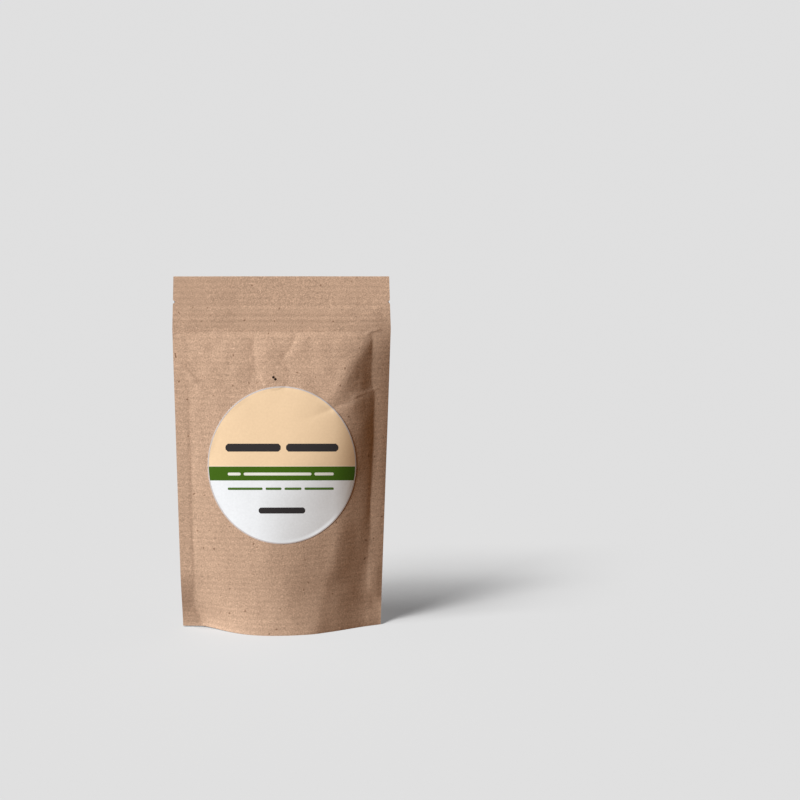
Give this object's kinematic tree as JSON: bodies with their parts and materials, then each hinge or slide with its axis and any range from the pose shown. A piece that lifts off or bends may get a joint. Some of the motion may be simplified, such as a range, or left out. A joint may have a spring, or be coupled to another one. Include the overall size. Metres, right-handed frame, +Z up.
{
  "type": "brown paper stand-up pouch of whole cloves",
  "caption": "Shut brown paper stand-up pouch of dry spice with a press-to-close zip, tear notches, a degassing valve and an oval label, standing on its folded base.",
  "frame": {"origin": "middle of the pouch's footprint, at the height of the lower rims that it stands on", "axes": "+Z up towards the sealed top edge, -Y out of the front with the label, X from side seal to side seal"},
  "size_m": [0.1094, 0.0316, 0.185],
  "materials": {
    "brown_paper": "matt uncoated brown paper, finely ribbed",
    "label_paper": "satin coated label paper printed in fields of cream, green and white"
  },
  "bodies": {
    "root": {"pouch": "brown_paper", "label": "label_paper"}
  },
  "joints": []
}
